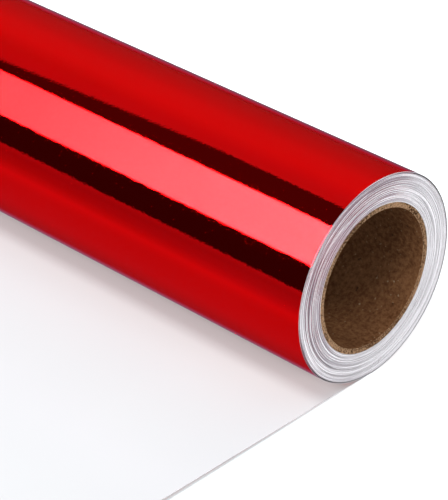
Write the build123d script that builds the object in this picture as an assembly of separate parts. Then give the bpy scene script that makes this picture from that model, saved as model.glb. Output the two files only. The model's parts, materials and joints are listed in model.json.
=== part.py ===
from build123d import *
import os
from math import floor, pi

# A roll of foil gift-wrap paper, lying on a flat surface with the start of its paper
# pulled off underneath and laid out flat beside it, foil side down.
#
# The paper is one long strip. It runs flat from its free end to the line where the roll
# rests on it, round the back of the roll, over the top and down the front as the outer
# turn, and then on round and round to the core, where tape holds its inner end.
#
# Origin: on the roll's axis, halfway along it. +X runs along the axis, +Y points away from
# the laid-out paper and +Z points up. All sizes are in millimetres.

# Core: a spirally wound cardboard tube, four plies of board glued together.
CORE_BORE_RADIUS = 19.05
CORE_PLY_THICKNESS = 0.3625
CORE_PLY_NAMES = ["core_liner_ply", "core_body_ply_inner", "core_body_ply_outer", "core_cover_ply"]

# Paper: a metallised film on a white paper base.
PAPER_WIDTH = 432.0
PAPER_THICKNESS = 0.105
TURN_PITCH = 0.125          # one thickness of paper and the air wound in with it
ROLL_RADIUS = 28.6
LAID_LENGTH = 220.0         # flat paper from the roll's contact line to the crease
SHEET_END_LENGTH = 40.0     # flat paper from the crease to the cut edge
WINDING_CLEARANCE = 0.15    # lets the winding turn inside the outer turn

# Tape that holds the paper's inner end to the core: three short strips.
TAPE_WIDTH = 19.0
TAPE_ARC = 70.0             # degrees of the core that each strip covers
TAPE_THICKNESS = 0.06
TAPE_GAP = 0.02
TAPE_POSITIONS = [-150.0, 0.0, 150.0]

# Worked out from the sizes above.
CORE_RADIUS = CORE_BORE_RADIUS + CORE_PLY_THICKNESS * len(CORE_PLY_NAMES)
TAPE_RADIUS = CORE_RADIUS + TAPE_GAP + TAPE_THICKNESS
OUTER_TURN_INSIDE = ROLL_RADIUS - TURN_PITCH - PAPER_THICKNESS
WINDING_RADIUS = OUTER_TURN_INSIDE - WINDING_CLEARANCE
WINDING_DEPTH = WINDING_RADIUS - TAPE_RADIUS - TAPE_GAP - PAPER_THICKNESS
HALF_TURNS = floor(2 * WINDING_DEPTH / TURN_PITCH)
FLOOR_Z = -ROLL_RADIUS


def along_roll(profile):
    """Give a flat outline in the YZ plane the paper's full width, half each way from the origin."""
    return extrude(Plane.YZ * profile, amount=PAPER_WIDTH / 2, both=True)


def spiral_arcs(start_radius, inset, half_turns):
    """Half-circle arcs that wind inwards from the bottom of the roll, up its back first.

    Each half turn is TURN_PITCH / 2 smaller in radius than the one before, and its centre is
    moved by as much, so that the arcs meet without a step. The inset is the distance of this
    face of the paper from its outer face.
    """
    arcs = []
    for turn in range(half_turns):
        radius = start_radius - turn * TURN_PITCH / 2
        climbing = turn % 2 == 0
        centre = 0 if climbing else TURN_PITCH / 2
        side = 1 if climbing else -1
        reach = radius - inset
        arcs.append(
            ThreePointArc((0, centre - side * reach), (side * reach, centre), (0, centre + side * reach))
        )
    return arcs


def wound_strip(start_radius, half_turns):
    """A strip of paper wound inwards from the bottom of the roll, as one solid."""
    outer_face = spiral_arcs(start_radius, 0, half_turns)
    inner_face = spiral_arcs(start_radius, PAPER_THICKNESS, half_turns)
    outer_end = Line(outer_face[0] @ 0, inner_face[0] @ 0)
    inner_end = Line(outer_face[-1] @ 1, inner_face[-1] @ 1)
    return along_roll(Face(Wire(outer_face + [inner_end] + inner_face + [outer_end])))


def flat_paper(far_y, near_y):
    """Paper lying on the floor between two distances from the roll's axis."""
    middle = Pos(0, (far_y + near_y) / 2, FLOOR_Z + PAPER_THICKNESS / 2)
    return middle * Box(PAPER_WIDTH, near_y - far_y, PAPER_THICKNESS)


def core_ply(index):
    """One ply of the core, counted from the bore outwards."""
    inside = CORE_BORE_RADIUS + index * CORE_PLY_THICKNESS
    return along_roll(Circle(inside + CORE_PLY_THICKNESS) - Circle(inside))


def start_tape():
    """Three strips of tape on the core, under the paper's inner end."""
    ring = Circle(TAPE_RADIUS) - Circle(TAPE_RADIUS - TAPE_THICKNESS)
    wedge = Polyline(
        (0, 0),
        Vector(2 * CORE_RADIUS, 0).rotate(Axis.Z, 90 - TAPE_ARC / 2),
        Vector(2 * CORE_RADIUS, 0).rotate(Axis.Z, 90 + TAPE_ARC / 2),
        close=True,
    )
    strip = extrude(Plane.YZ * (ring & make_face(wedge)), amount=TAPE_WIDTH / 2, both=True)
    return Compound([Pos(x, 0, 0) * strip for x in TAPE_POSITIONS])


parts = {
    "laid_sheet": flat_paper(-LAID_LENGTH, 0),
    "sheet_end": flat_paper(-LAID_LENGTH - SHEET_END_LENGTH, -LAID_LENGTH),
    "outer_turn": wound_strip(ROLL_RADIUS, 2),
    "wound_paper": wound_strip(WINDING_RADIUS, HALF_TURNS),
    "start_tape": start_tape(),
}
for ply_index, ply_name in enumerate(CORE_PLY_NAMES):
    parts[ply_name] = core_ply(ply_index)

os.makedirs("parts", exist_ok=True)
for name, shape in parts.items():
    export_step(shape, f"parts/{name}.step")

mean_radius = WINDING_RADIUS - HALF_TURNS * TURN_PITCH / 4
wound_length = pi * mean_radius * HALF_TURNS
paper_length = LAID_LENGTH + SHEET_END_LENGTH + 2 * pi * ROLL_RADIUS + wound_length
print(f"{HALF_TURNS / 2} turns inside the outer turn, {paper_length / 1000:.2f} m of paper in all")
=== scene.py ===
"""A roll of metallic red gift wrap on a cardboard core, with its first length laid out flat.

The paper is one strip. It lies flat from its free end to the line where the roll rests on it,
runs round the roll as the outer turn, and then winds in to the core. Metres throughout, in the
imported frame: +X along the roll, +Y away from the laid-out paper, +Z up.
"""

import json
import math

import bmesh
import bpy
from mathutils import Matrix, Vector


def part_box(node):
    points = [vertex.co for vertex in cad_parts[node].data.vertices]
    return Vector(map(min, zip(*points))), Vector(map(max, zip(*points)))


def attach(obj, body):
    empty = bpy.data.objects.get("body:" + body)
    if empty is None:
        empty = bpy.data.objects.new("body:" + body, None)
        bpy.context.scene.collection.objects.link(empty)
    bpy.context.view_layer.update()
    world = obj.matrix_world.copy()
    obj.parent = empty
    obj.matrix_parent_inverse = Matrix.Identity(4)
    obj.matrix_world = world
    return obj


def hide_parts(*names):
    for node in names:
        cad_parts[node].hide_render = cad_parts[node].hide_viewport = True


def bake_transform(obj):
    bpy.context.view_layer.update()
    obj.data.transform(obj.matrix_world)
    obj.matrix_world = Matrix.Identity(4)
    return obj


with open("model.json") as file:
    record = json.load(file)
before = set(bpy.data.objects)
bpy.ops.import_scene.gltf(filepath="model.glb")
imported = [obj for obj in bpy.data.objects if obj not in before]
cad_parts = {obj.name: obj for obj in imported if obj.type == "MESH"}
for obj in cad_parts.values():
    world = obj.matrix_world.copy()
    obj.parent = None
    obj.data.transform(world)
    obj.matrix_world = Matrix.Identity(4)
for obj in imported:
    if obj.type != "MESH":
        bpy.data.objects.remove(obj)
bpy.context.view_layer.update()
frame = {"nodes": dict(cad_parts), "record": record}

MM = 0.001

# ---------------------------------------------------------------- sizes, from the frame
outer_low, outer_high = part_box("outer_turn")
laid_low, laid_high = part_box("laid_sheet")
end_low, end_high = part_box("sheet_end")
winding_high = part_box("wound_paper")[1]
cover_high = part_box("core_cover_ply")[1]
mounts = {mount["name"]: mount for mount in frame["record"]["mounts"]}

HALF_WIDTH = outer_high.x
ROLL_RADIUS = -outer_low.z
FLOOR_Z = laid_low.z
PAPER_THICKNESS = laid_high.z - laid_low.z
LAID_LENGTH = laid_high.y - laid_low.y
END_LENGTH = end_high.y - end_low.y
CORE_RADIUS = cover_high.z
BORE_RADIUS = mounts["core_bore"]["dims"]["r_mm"] * MM
ROLL_END = Vector((HALF_WIDTH, 0.0, 0.0))

# ---------------------------------------------------------------- node trees


class Socket:
    """A node's output. Arithmetic on it adds Math nodes to its tree."""

    def __init__(self, tree, link):
        self.tree = tree
        self.link = link

    def math(self, operation, *others):
        values = dict(enumerate((self,) + others))
        return self.tree.node("ShaderNodeMath", {"operation": operation}, values)

    def __add__(self, other):
        return self.math("ADD", other)

    def __sub__(self, other):
        return self.math("SUBTRACT", other)

    def __mul__(self, other):
        return self.math("MULTIPLY", other)

    def __truediv__(self, other):
        return self.math("DIVIDE", other)

    def __mod__(self, other):
        return self.math("FLOORED_MODULO", other)

    def __rsub__(self, other):
        return self.tree.node("ShaderNodeMath", {"operation": "SUBTRACT"}, {0: other, 1: self})

    def __neg__(self):
        return self.math("MULTIPLY", -1.0)

    __radd__ = __add__
    __rmul__ = __mul__

    def above(self, limit):
        return self.math("GREATER_THAN", limit)

    def smooth(self, low, high):
        """0 below low, 1 above high, and a smooth step between them."""
        settings = {"interpolation_type": "SMOOTHSTEP"}
        values = {"Value": self, "From Min": low, "From Max": high}
        return self.tree.node("ShaderNodeMapRange", settings, values)


class Tree:
    """A node tree being built."""

    def __init__(self, nodes):
        self.nodes = nodes

    def node(self, kind, settings=None, values=None, output=0):
        """Adds one node: its settings first, then what its sockets hold. Gives one of its outputs."""
        made = self.nodes.nodes.new(kind)
        for name, setting in (settings or {}).items():
            if name == "stops":
                self.set_stops(made.color_ramp, setting)
            else:
                setattr(made, name, setting)
        for name, value in (values or {}).items():
            self.feed(made.inputs[name], value)
        return Socket(self, made.outputs[output])

    def feed(self, socket, value):
        if isinstance(value, Socket):
            self.nodes.links.new(value.link, socket)
        else:
            socket.default_value = value

    def set_stops(self, ramp, stops):
        while len(ramp.elements) < len(stops):
            ramp.elements.new(1.0)
        for element, (place, color) in zip(ramp.elements, stops):
            element.position = place
            element.color = color if len(color) == 4 else (*color, 1.0)

    def join(self, x, y, z):
        return self.node("ShaderNodeCombineXYZ", None, {"X": x, "Y": y, "Z": z})

    def split(self, vector):
        parts = self.node("ShaderNodeSeparateXYZ", None, {"Vector": vector}).link.node
        return [Socket(self, parts.outputs[axis]) for axis in ("X", "Y", "Z")]

    def noise(self, vector, scale, detail=2.0, roughness=0.5, dimensions="3D", **extra):
        values = {"Vector": vector, "Scale": scale, "Detail": detail, "Roughness": roughness}
        values.update(extra)
        return self.node("ShaderNodeTexNoise", {"noise_dimensions": dimensions}, values)


class Finish(Tree):
    """A material being built round its Principled BSDF."""

    def __init__(self, name, **constants):
        self.material = bpy.data.materials.new(name)
        self.material.use_nodes = True
        super().__init__(self.material.node_tree)
        self.shader = self.nodes.nodes["Principled BSDF"]
        for socket, value in constants.items():
            self.set(socket.replace("_", " "), value)

    def set(self, socket, value):
        self.feed(self.shader.inputs[socket], value)

    def place(self):
        return self.node("ShaderNodeTexCoord", None, None, "Object")

    def attribute(self, name):
        return self.node("ShaderNodeAttribute", {"attribute_name": name}, None, "Fac")

    def blend(self, factor, first, second):
        """Mixes two colours: the first at 0, the second at 1."""
        values = {0: factor, 6: first, 7: second}
        return self.node("ShaderNodeMix", {"data_type": "RGBA"}, values, 2)

    def bump(self, height, distance):
        values = {"Height": height, "Distance": distance, "Strength": 1.0}
        self.set("Normal", self.node("ShaderNodeBump", None, values))


def rgb(red, green, blue):
    return (red, green, blue, 1.0)


# ---------------------------------------------------------------- finishes


def red_foil():
    """The printed face: bright metal under a red lacquer, with the paper's grain showing through."""
    finish = Finish("red_foil", Metallic=1.0, Coat_Weight=0.05, Coat_Roughness=0.04, Coat_IOR=1.5)
    finish.set("Specular Tint", rgb(0.85, 0.20, 0.25))
    place = finish.place()
    cloud = finish.noise(place, 22.0, 2.0)
    finish.set("Base Color", finish.blend(cloud, rgb(0.59, 0.0013, 0.0018), rgb(0.63, 0.0019, 0.0026)))
    finish.set("Roughness", finish.noise(place, 300.0, 2.0) * 0.02 + 0.03)
    grain = finish.noise(place, 1300.0, 2.0, 0.55)
    finish.bump(grain, 0.014 * MM)
    return finish.material


def wound_foil():
    """The printed face where the winding covers it, darkened by painted shade for the end's crevices."""
    finish = Finish("wound_foil", Metallic=0.5, Coat_Weight=0.0)
    speckle = finish.noise(finish.place(), 900.0, 3.0)
    # Both tones are the foil's red darkened by painted shade; the speckle between them is random.
    finish.set("Base Color", finish.blend(speckle, rgb(0.16, 0.03, 0.05), rgb(0.30, 0.10, 0.13)))
    finish.set("Roughness", speckle * 0.2 + 0.4)
    finish.bump(speckle, 0.02 * MM)
    return finish.material


def white_back():
    """The unprinted face of the paper: smooth, with a faint satin shine."""
    finish = Finish("white_back", IOR=1.45, Specular_IOR_Level=0.5)
    place = finish.place()
    fibre = finish.noise(place, 900.0, 4.0, 0.6)
    cloud = finish.noise(place, 35.0, 3.0)
    finish.set("Base Color", finish.blend(cloud, rgb(0.722, 0.742, 0.730), rgb(0.740, 0.760, 0.748)))
    finish.set("Roughness", fibre * 0.01 + 0.26)
    finish.bump(fibre, 0.0003 * MM)
    return finish.material


def cut_edge():
    """The cut through the paper: white stock with the red film along its outer side.

    Fine dark lines of painted shade follow the turns, standing for the shade in the gaps between
    them. The painted shade is darker towards the top and front of the roll.
    """
    finish = Finish("cut_edge", IOR=1.45, Specular_IOR_Level=0.0)
    place = finish.place()
    _, y, z = finish.split(place)
    film = finish.attribute("film").smooth(0.93, 0.99)
    turn = finish.attribute("turn")
    # Painted shade: dark dashes and lines along the turns, where the gaps between turns would be in shade.
    dashes = finish.noise(finish.join(turn * 0.5, y * 40.0, z * 40.0), 1.0, 2.0).smooth(0.38, 0.56)
    lines = finish.noise(finish.join(turn * 0.3, y * 9.0, z * 9.0), 1.0, 1.0) - 0.5
    closed = dashes * lines.math("ABSOLUTE").smooth(0.0, 0.07)
    # The painted shade is deeper towards the top and front of the roll.
    loose = (z * 0.6 - y).smooth(-0.022, 0.02) * 0.65 + 0.35
    stock = finish.blend((1.0 - closed) * loose, rgb(0.92, 0.92, 0.94), rgb(0.12, 0.10, 0.13))
    fibre = finish.noise(place, 2500.0, 3.0)
    stock = finish.blend(fibre * 0.3, stock, rgb(0.95, 0.94, 0.96))
    finish.set("Base Color", finish.blend(film, stock, rgb(0.34, 0.06, 0.09)))
    finish.set("Roughness", fibre * 0.1 + 0.7)
    finish.bump(fibre, 0.03 * MM)
    return finish.material


def core_board(name, grain, spread, dark, light):
    """Recycled brown board: matted fibres, with pale and dark specks."""
    finish = Finish(name, IOR=1.45, Specular_IOR_Level=0.0)
    place = finish.place()
    cloud = finish.noise(place, 90.0, 3.0)
    mottle = finish.noise(place, grain, 4.0, 0.7)
    color = finish.blend((mottle * 0.75 + cloud * 0.25).smooth(0.5 - spread, 0.5 + spread), dark, light)
    pale = finish.noise(place, 1100.0, 1.0, 0.3, W=4.0, dimensions="4D").smooth(0.68, 0.78)
    black = finish.noise(place, 800.0, 1.0, 0.3, W=9.0, dimensions="4D").smooth(0.70, 0.78)
    color = finish.blend(pale * 0.45, color, rgb(0.50, 0.38, 0.24))
    color = finish.blend(black * 0.7, color, rgb(0.03, 0.015, 0.008))
    finish.set("Base Color", color)
    finish.set("Roughness", mottle * 0.1 + 0.85)
    finish.bump(mottle, 0.15 * MM)
    return finish.material


def clear_tape():
    """Clear tape with a satin backing."""
    finish = Finish("clear_tape", IOR=1.47)
    haze = finish.noise(finish.place(), 800.0, 3.0)
    finish.set("Base Color", finish.blend(haze, rgb(0.80, 0.76, 0.66), rgb(0.88, 0.86, 0.80)))
    finish.set("Roughness", haze * 0.15 + 0.25)
    finish.bump(haze, 0.01 * MM)
    return finish.material


FOIL = red_foil()
SHADED_WOUND_FOIL = wound_foil()
BACK = white_back()
EDGE = cut_edge()
BOARD = core_board("core_board", 900.0, 0.17, rgb(0.088, 0.035, 0.014), rgb(0.215, 0.100, 0.044))
RIM = core_board("core_rim", 1900.0, 0.07, rgb(0.045, 0.022, 0.011), rgb(0.32, 0.195, 0.11))
TAPE = clear_tape()

# ---------------------------------------------------------------- geometry trees

SECTION = 4  # faces round the strip: cut edge, inner face, far cut edge, outer face
SHARP_ANGLE = math.radians(40.0)


class Shape(Tree):
    """A Geometry Nodes tree with named inputs, run once to make a plain mesh."""

    def __init__(self, name, inputs):
        super().__init__(bpy.data.node_groups.new(name, "GeometryNodeTree"))
        self.sockets = {}
        for label, kind in inputs.items():
            item = self.nodes.interface.new_socket(label, in_out="INPUT", socket_type=kind)
            self.sockets[label] = item.identifier
        self.nodes.interface.new_socket("Geometry", in_out="OUTPUT", socket_type="NodeSocketGeometry")
        self.entry = self.nodes.nodes.new("NodeGroupInput")

    def given(self, label):
        return Socket(self, self.entry.outputs[label])

    def finish(self, geometry):
        """Ends the tree with what it makes."""
        real = self.node("GeometryNodeRealizeInstances", None, {0: geometry})
        outlet = self.nodes.nodes.new("NodeGroupOutput")
        self.feed(outlet.inputs[0], real)

    def painted(self, geometry, material, chosen=True):
        """Gives the chosen faces this material."""
        values = {0: geometry, "Selection": chosen, "Material": material}
        return self.node("GeometryNodeSetMaterial", None, values)

    def kept(self, geometry, name, value):
        """Stores a value at every point under a name that a material can read."""
        settings = {"data_type": "FLOAT", "domain": "POINT"}
        values = {0: geometry, "Name": name, "Value": value}
        return self.node("GeometryNodeStoreNamedAttribute", settings, values)

    def run(self, name, **settings):
        """Makes a mesh object from the tree with these inputs."""
        maker = bpy.data.objects.new(name, bpy.data.meshes.new(name))
        bpy.context.scene.collection.objects.link(maker)
        modifier = maker.modifiers.new("shape", "NODES")
        modifier.node_group = self.nodes
        for label, value in settings.items():
            modifier[self.sockets[label.replace("_", " ")]] = value
        evaluated = maker.evaluated_get(bpy.context.evaluated_depsgraph_get())
        mesh = bpy.data.meshes.new_from_object(evaluated)
        maker.modifiers.remove(modifier)
        maker.data = mesh
        mesh.name = name
        return maker


FLOAT = "NodeSocketFloat"
WHOLE = "NodeSocketInt"
MATERIAL = "NodeSocketMaterial"


def wound_strip_tree():
    """Paper wound in a spiral from the bottom of the roll, up its back first.

    A grid is bent to shape: its long way runs along the paper and its short way round the
    paper's section. Wander moves each turn along the roll. The winding is loose here and there,
    and at every angle the loose places add up to Slack, so its last turn meets the core all round.
    """
    inputs = {
        "Radius": FLOAT,
        "Pitch": FLOAT,
        "Turns": FLOAT,
        "Steps per turn": WHOLE,
        "Thickness": FLOAT,
        "Half width": FLOAT,
        "Wander": FLOAT,
        "Ragged": FLOAT,
        "Slack": FLOAT,
        "First turn": FLOAT,
        "Seed": FLOAT,
        "Outer face": MATERIAL,
        "Inner face": MATERIAL,
        "Cut edge": MATERIAL,
    }
    shape = Shape("wound_strip", inputs)

    # The turn, the angle and the corner of the section that each point of the grid stands for.
    steps = shape.given("Steps per turn")
    along = shape.given("Turns") * steps + 1.0
    grid_values = {"Size X": 1.0, "Size Y": 1.0, "Vertices X": along, "Vertices Y": SECTION + 1}
    grid = shape.node("GeometryNodeMeshGrid", None, grid_values)
    index = shape.node("GeometryNodeInputIndex")
    column = (index / float(SECTION + 1)).math("FLOOR")
    corner = index % float(SECTION + 1)
    turn = column / steps
    angle = turn * math.tau
    inner = corner.math("COMPARE", 1.5, 0.6)
    far = corner.math("COMPARE", 2.5, 0.6)
    count = turn + shape.given("First turn")
    seed = shape.given("Seed")

    # How far the paper reaches along the roll.
    drift = wander_noise(shape, count, angle, far, seed) * shape.given("Wander")
    spot = shape.join(angle.math("COSINE"), angle.math("SINE"), far * 5.0)
    ragged = (shape.noise(spot, 30.0, 4.0, 0.75, "4D", W=seed) - 0.5) * shape.given("Ragged")
    x = (1.0 - far * 2.0) * (shape.given("Half width") + drift + ragged)

    # How far out it lies: loose places take a larger share of the slack.
    spot = shape.join(angle.math("COSINE") * 0.7, angle.math("SINE") * 0.7, count * 1.1)
    loose = shape.noise(spot, 1.0, 1.0, 0.5, "4D", W=seed + 11.0).smooth(0.5, 0.72) + 0.02
    loose = loose * turn.smooth(0.0, 1.0) * (shape.given("Turns") - turn).smooth(0.0, 1.0)
    same_angle = (column % steps) * float(SECTION + 1) + corner
    sums = {"Value": loose, "Group ID": same_angle}
    so_far = shape.node("GeometryNodeAccumulateField", {"data_type": "FLOAT"}, sums, "Leading")
    in_all = shape.node("GeometryNodeAccumulateField", {"data_type": "FLOAT"}, sums, "Total")
    slack = shape.given("Slack") * so_far / in_all
    radius = shape.given("Radius") - shape.given("Pitch") * turn - slack - inner * shape.given("Thickness")
    place = shape.join(x, radius * angle.math("SINE"), -(radius * angle.math("COSINE")))

    # A grid face has the index of its first column's corners, less one for each column before it.
    face = index % float(SECTION)
    strip = shape.painted(grid, shape.given("Cut edge"))
    strip = shape.painted(strip, shape.given("Inner face"), face.math("COMPARE", 1.0, 0.1))
    strip = shape.painted(strip, shape.given("Outer face"), face.math("COMPARE", 3.0, 0.1))
    strip = shape.kept(strip, "film", 1.0 - inner)
    strip = shape.kept(strip, "turn", count)
    strip = shape.node("GeometryNodeSetPosition", None, {0: strip, "Position": place})
    strip = shape.node("GeometryNodeMergeByDistance", None, {0: strip, "Distance": 0.001 * MM})
    shape.finish(strip)
    return shape


def wander_noise(shape, count, angle, far, seed):
    """How far each part of the winding stands out of its end: some turns lie well inside the rest."""
    spot = shape.join(count, far * 50.0, 0.0)
    slow = shape.noise(spot, 0.28, 1.0, 0.5, "4D", W=seed)
    quick = shape.noise(spot, 2.3, 1.0, 0.6, "4D", W=seed + 7.0)
    round_roll = shape.join(angle.math("COSINE") * 0.5 + far * 50.0, angle.math("SINE") * 0.5, count * 1.05)
    sunk = shape.noise(round_roll, 1.0, 1.0, 0.6, "4D", W=seed + 4.0).smooth(0.52, 0.60)
    return (slow - 0.5) * 0.3 + (quick - 0.5) * 1.1 - sunk * 0.8


def close_ends(piece):
    """Caps the open ends of a strip and shades it."""
    work = bmesh.new()
    work.from_mesh(piece.data)
    rim = [edge for edge in work.edges if edge.is_boundary]
    bmesh.ops.holes_fill(work, edges=rim, sides=0)
    bmesh.ops.recalc_face_normals(work, faces=work.faces)
    work.to_mesh(piece.data)
    work.free()
    shade_smooth(piece.data)


def shade_smooth(mesh):
    """Shades a mesh smooth, apart from its corners."""
    for polygon in mesh.polygons:
        polygon.use_smooth = True
    mesh.set_sharp_from_angle(angle=SHARP_ANGLE)


WOUND_PITCH = 0.1125 * MM
WOUND_TURNS = 61.0
WOUND_INSET = 0.06 * MM  # the winding's ends lie this far inside the outer turn's
CORE_GAP = 0.02 * MM


def wind_paper(strip):
    """The outer turn, and the turns wound inside it down to the core."""
    paper = {"Inner_face": BACK, "Cut_edge": EDGE}
    tight_depth = WOUND_TURNS * WOUND_PITCH + PAPER_THICKNESS + CORE_GAP
    outer = strip.run(
        "outer_turn_paper",
        Radius=ROLL_RADIUS,
        Pitch=WOUND_PITCH,
        Turns=1.0,
        Steps_per_turn=360,
        Thickness=PAPER_THICKNESS,
        Half_width=HALF_WIDTH,
        Wander=0.0,
        Ragged=0.0,
        Slack=0.0,
        First_turn=0.0,
        Seed=3.0,
        Outer_face=FOIL,
        **paper,
    )
    winding = strip.run(
        "wound_paper_turns",
        Radius=winding_high.z,
        Pitch=WOUND_PITCH,
        Turns=WOUND_TURNS,
        Steps_per_turn=180,
        Thickness=PAPER_THICKNESS,
        Half_width=HALF_WIDTH - WOUND_INSET,
        Wander=0.22 * MM,
        Ragged=0.0,
        Slack=winding_high.z - CORE_RADIUS - tight_depth,
        First_turn=1.0,
        Seed=3.0,
        # Outer face: the foil darkened by painted shade, as it shows in the end's crevices.
        Outer_face=SHADED_WOUND_FOIL,
        **paper,
    )
    for piece in (outer, winding):
        close_ends(piece)
    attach(outer, "outer_turn")
    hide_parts("outer_turn")
    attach(winding, "spool")
    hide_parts("wound_paper")


def flat_strip(name, far_y, near_y, rows, columns, lift):
    """Paper lying flat between two distances from the roll: white face up, foil face down."""
    mesh = bpy.data.meshes.new(name)
    work = bmesh.new()
    layers = []
    for height in (0.0, PAPER_THICKNESS):
        layer = []
        for row in range(rows + 1):
            y = far_y + (near_y - far_y) * row / rows
            line = []
            for column in range(columns + 1):
                x = HALF_WIDTH * (2.0 * column / columns - 1.0)
                line.append(work.verts.new((x, y, FLOOR_Z + height + lift(x, y))))
            layer.append(line)
        layers.append(layer)
    bottom, top = layers
    for row in range(rows):
        for column in range(columns):
            corners = [(row, column), (row, column + 1), (row + 1, column + 1), (row + 1, column)]
            work.faces.new([top[r][c] for r, c in corners]).material_index = 0
            work.faces.new([bottom[r][c] for r, c in reversed(corners)]).material_index = 1
    rim = [(0, c) for c in range(columns)] + [(r, columns) for r in range(rows)]
    rim += [(rows, c) for c in range(columns, 0, -1)] + [(r, 0) for r in range(rows, 0, -1)]
    for (row, column), (next_row, next_column) in zip(rim, rim[1:] + rim[:1]):
        below = [bottom[row][column], bottom[next_row][next_column]]
        above = [top[next_row][next_column], top[row][column]]
        work.faces.new(below + above).material_index = 2
    bmesh.ops.recalc_face_normals(work, faces=work.faces)
    work.to_mesh(mesh)
    work.free()
    shade_smooth(mesh)
    for material in (BACK, FOIL, EDGE):
        mesh.materials.append(material)
    piece = bpy.data.objects.new(name, mesh)
    bpy.context.scene.collection.objects.link(piece)
    return piece


def edge_lift(x, y):
    """The cut sides of the laid paper rise a little off the floor, between the roll and the fold."""
    side_width = 0.030
    rise_length = 0.020
    fall_end, fall_length = -0.170, 0.060
    side = max(0.0, (abs(x) - (HALF_WIDTH - side_width)) / side_width)
    height = 0.35 * MM - 0.009 * y
    near = min(1.0, max(0.0, -y / rise_length))
    far = min(1.0, max(0.0, (y - fall_end) / fall_length))
    return side * side * height * near * far * far * (3.0 - 2.0 * far)


def lay_paper():
    """The laid-out paper up to the crease, and the end beyond it, both lying flat on the floor."""
    crease_y = -LAID_LENGTH
    laid = flat_strip("laid_paper", crease_y, 0.0, 55, 72, edge_lift)
    end = flat_strip("paper_end", crease_y - END_LENGTH, crease_y, 40, 72, edge_lift)
    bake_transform(laid)
    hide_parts("laid_sheet")
    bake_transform(end)
    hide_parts("sheet_end")


# The plies from the bore outwards, and how far each one's cut end lies inside the paper's.
CORE_PLIES = (
    ("core_liner_ply", 0.22 * MM),
    ("core_body_ply_inner", 0.08 * MM),
    ("core_body_ply_outer", 0.04 * MM),
    ("core_cover_ply", 0.10 * MM),
)


def build_core(strip):
    """The core's four plies, each a closed tube with its ends roughly cut."""
    plies = []
    for index, (node, recess) in enumerate(CORE_PLIES):
        ply = strip.run(
            node + "_board",
            Radius=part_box(node)[1].z,
            Pitch=0.0,
            Turns=1.0,
            Steps_per_turn=360,
            Thickness=(CORE_RADIUS - BORE_RADIUS) / len(CORE_PLIES),
            Half_width=HALF_WIDTH - recess,
            Wander=0.0,
            Ragged=0.6 * MM,
            Slack=0.0,
            First_turn=0.0,
            Seed=20.0 + index,
            Outer_face=BOARD,
            Inner_face=BOARD,
            Cut_edge=RIM,
        )
        close_ends(ply)
        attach(ply, "spool")
        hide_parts(node)
        plies.append(ply)
    return plies


def dress_tape():
    """The tape keeps its own shape."""
    tape = frame["nodes"]["start_tape"]
    tape.data.materials.clear()
    tape.data.materials.append(TAPE)


strip_tree = wound_strip_tree()
wind_paper(strip_tree)
lay_paper()
core_plies = build_core(strip_tree)
dress_tape()

# ---------------------------------------------------------------- studio


def stage_mesh(name, corners, material, faces=None):
    """A card, tent or floor that isn't part of the object: one flat face, unless faces are given."""
    mesh = bpy.data.meshes.new(name)
    mesh.from_pydata(corners, [], faces or [tuple(range(len(corners)))])
    mesh.materials.append(material)
    card = bpy.data.objects.new(name, mesh)
    bpy.context.scene.collection.objects.link(card)
    return card


def only_in_reflections(card):
    """Leaves the card to be seen in shine alone, where it casts no shadow."""
    card.visible_camera = False
    card.visible_diffuse = False
    card.visible_shadow = False
    card.visible_transmission = False
    card.visible_volume_scatter = False


def glow_material(name, radiance_of, color=rgb(1.0, 1.0, 1.0)):
    """Light of a strength that radiance_of works out from the place on the card."""
    material = bpy.data.materials.new(name)
    material.use_nodes = True
    tree = Tree(material.node_tree)
    material.node_tree.nodes.remove(material.node_tree.nodes["Principled BSDF"])
    place = tree.split(tree.node("ShaderNodeTexCoord", None, None, "Object"))
    glow = tree.node("ShaderNodeEmission", None, {"Color": color, "Strength": radiance_of(tree, *place)})
    tree.feed(material.node_tree.nodes["Material Output"].inputs["Surface"], glow)
    material.cycles.emission_sampling = "NONE"
    return material


def ramp(tree, along, low, high, levels):
    """A level that follows the listed stops between low and high."""
    share = (along - low) / (high - low)
    stops = {"stops": [((at - low) / (high - low), (level, level, level)) for at, level in levels]}
    return tree.node("ShaderNodeValToRGB", stops, {"Fac": share}, "Color")


# Radiance round the tent, by degrees up from the back.
TENT_LEVELS = [
    (0.0, 0.58),
    (10.0, 0.64),
    (34.0, 0.83),
    (46.0, 0.98),
    (64.0, 1.03),
    (82.0, 0.83),
    (157.0, 0.8),
    (158.0, 0.05),
]
# The soft box in the tent lies between these two heights, in the same degrees.
SOFT_BOX = (113.0, 157.0)
SOFT_BOX_RADIANCE = 43.0
# Radiance of the paper and floor as the foil mirrors them, by the distance behind the roll's axis.
GROUND_LEVELS = [
    (-0.36, 0.68),
    (-0.17, 0.52),
    (-0.105, 0.61),
    (-0.083, 0.74),
    (-0.068, 0.98),
    (-0.052, 0.80),
    (-0.030, 0.80),
    (-0.018, 0.50),
    (-0.012, 0.24),
    (0.13, 0.25),
    (0.25, 0.55),
    (0.45, 0.62),
]


def tent_radiance(tree, x, y, z):
    """The soft box fades towards the roll's far end, and light off the paper sees none of it."""
    height = z.math("ARCTAN2", y) * (180.0 / math.pi)
    fade = x.smooth(-1.3, -0.7) * 0.66 + 0.42
    inside = height.above(SOFT_BOX[0]) * (1.0 - height.above(SOFT_BOX[1]))
    bounced = tree.node("ShaderNodeLightPath", None, None, "Diffuse Depth").above(0.5)
    level = ramp(tree, height, 0.0, 180.0, TENT_LEVELS)
    lit = level + inside * fade * SOFT_BOX_RADIANCE
    return lit * (1.0 - bounced * 0.6) * (1.0 - bounced * inside)


def ground_radiance(tree, x, y, z):
    """The ground's level at a place depends only on how far behind the roll it is."""
    return ramp(tree, y, GROUND_LEVELS[0][0], GROUND_LEVELS[-1][0], GROUND_LEVELS)


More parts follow.
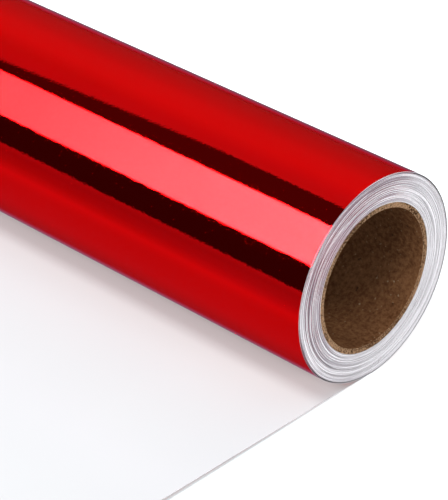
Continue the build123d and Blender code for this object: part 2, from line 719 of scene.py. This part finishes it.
def light_tent():
    """A half cylinder over the roll: soft box in front, white overhead and behind."""
    radius = 1.5
    half_length = 6.0
    segments = 64
    corners = []
    for step in range(segments + 1):
        angle = math.pi * step / segments
        for x in (-half_length, half_length):
            corners.append((x, radius * math.cos(angle), radius * math.sin(angle)))
    starts = range(0, 2 * segments, 2)
    faces = [(first, first + 1, first + 3, first + 2) for first in starts]
    tent = stage_mesh("light_tent", corners, glow_material("tent", tent_radiance), faces)
    only_in_reflections(tent)


def light_cards():
    """Cards that shape the bands in the foil: black in front, grey overhead, and the pale ground."""
    front_y = GROUND_LEVELS[0][0]
    black = glow_material("black_card", lambda tree, x, y, z: 0.045)
    front = [(-6, front_y, FLOOR_Z), (6, front_y, FLOOR_Z), (6, front_y, 0.15), (-6, front_y, 0.15)]
    only_in_reflections(stage_mesh("front_flag", front, black))

    high = 0.6
    grey = glow_material("grey_card", lambda tree, x, y, z: 0.10)
    top = [(-0.62, -0.267, high), (1.5, -0.267, high), (1.5, -0.02, high), (-0.26, -0.005, high)]
    only_in_reflections(stage_mesh("top_flag", top, grey))

    low = FLOOR_Z + 1.5 * MM
    shine = glow_material("ground_shine", ground_radiance, rgb(1.0, 0.7, 1.05))
    ground = [(-1.5, front_y, low), (1.5, front_y, low), (1.5, 1.6, low), (-1.5, 1.6, low)]
    only_in_reflections(stage_mesh("ground_shine", ground, shine))


def area_light(name, place, target, size, power):
    """A soft lamp turned towards its target, and not itself seen in the foil."""
    light = bpy.data.lights.new(name, "AREA")
    light.shape = "RECTANGLE"
    light.size, light.size_y = size
    light.energy = power
    lamp = bpy.data.objects.new(name, light)
    lamp.location = place
    lamp.rotation_euler = (Vector(target) - Vector(place)).to_track_quat("-Z", "Y").to_euler()
    bpy.context.scene.collection.objects.link(lamp)
    lamp.visible_glossy = False
    lamp.visible_camera = False
    return lamp


def lights_only(lamp, pieces):
    """Keeps the lamp's light off everything but these pieces."""
    lit = bpy.data.collections.new(lamp.name + "_lit")
    for piece in pieces:
        lit.objects.link(piece)
    lamp.light_linking.receiver_collection = lit


def lamps():
    """Lamps in front, overhead and beside the roll's near end, and one that lights only the core."""
    middle = (0, 0, 0)
    area_light("front", (-0.4, -1.9, 0.95), middle, (2.6, 1.4), 73.0)
    area_light("top", (-0.1, -0.845, 1.81), middle, (0.5, 0.5), 14.5)
    area_light("end", (2.2, -0.3, 0.45), ROLL_END, (0.9, 0.7), 29.0)
    bore = area_light("bore", (1.1, 0.3, 1.9), ROLL_END, (0.6, 0.6), 15.0)
    lights_only(bore, core_plies)


def fill_light():
    """Even, slightly cool light from all round."""
    world = bpy.data.worlds.new("studio")
    world.use_nodes = True
    world.node_tree.nodes["Background"].inputs["Color"].default_value = rgb(0.95, 0.98, 1.12)
    world.node_tree.nodes["Background"].inputs["Strength"].default_value = 0.30
    bpy.context.scene.world = world


def pale_floor():
    """White to look at, and darker in the light it gives back."""
    finish = Finish("floor", Roughness=0.9, Specular_IOR_Level=0.0)
    seen = finish.node("ShaderNodeLightPath", None, None, "Is Camera Ray")
    x, y, _ = finish.split(finish.place())
    # Painted light: the floor glows more behind the roll, washing out the roll's shadow there.
    behind = y.smooth(-0.04, 0.01)
    # Painted colour near the roll: a cyan tint that cancels the red light the foil throws on the floor.
    beyond = (x * x + y * y).smooth(0.10, 0.25)
    pale = finish.blend(beyond, rgb(0.72, 0.83, 0.83), rgb(0.83, 0.83, 0.83))
    finish.set("Base Color", finish.blend(seen, rgb(0.66, 0.66, 0.66), pale))
    finish.set("Emission Color", seen * (behind * 0.4 + 0.36))
    finish.set("Emission Strength", 1.0)
    return finish.material


def build_studio():
    """A white floor under a light tent."""
    reach = 12.0
    z = FLOOR_Z - 0.05 * MM
    corners = [(-reach, -reach, z), (reach, -reach, z), (reach, reach, z), (-reach, reach, z)]
    stage_mesh("floor", corners, pale_floor())

    light_tent()
    light_cards()
    lamps()
    fill_light()
    bpy.context.scene.view_settings.view_transform = "Standard"
    bpy.context.scene.view_settings.look = "None"


def place_camera():
    """Looks down on the near end of the roll from its front right."""
    azimuth, elevation, roll = math.radians(43.287), math.radians(31.314), math.radians(0.364)
    spot = ROLL_END + Vector((11.788, -14.444, 11.599)) * ROLL_RADIUS
    back = Vector(
        (
            math.sin(azimuth) * math.cos(elevation),
            -math.cos(azimuth) * math.cos(elevation),
            math.sin(elevation),
        )
    )
    right = (-back).cross(Vector((0, 0, 1))).normalized()
    up = right.cross(-back)
    turned_right = right * math.cos(roll) + up * math.sin(roll)
    turned_up = up * math.cos(roll) - right * math.sin(roll)
    turn = Matrix((turned_right, turned_up, back)).transposed()
    lens = bpy.data.cameras.new("camera")
    lens.sensor_width = 36.0
    lens.lens = 180.3
    lens.clip_start = 0.01
    lens.clip_end = 100.0
    camera = bpy.data.objects.new("camera", lens)
    camera.matrix_world = Matrix.Translation(spot) @ turn.to_4x4()
    bpy.context.scene.collection.objects.link(camera)
    bpy.context.scene.camera = camera


build_studio()
place_camera()
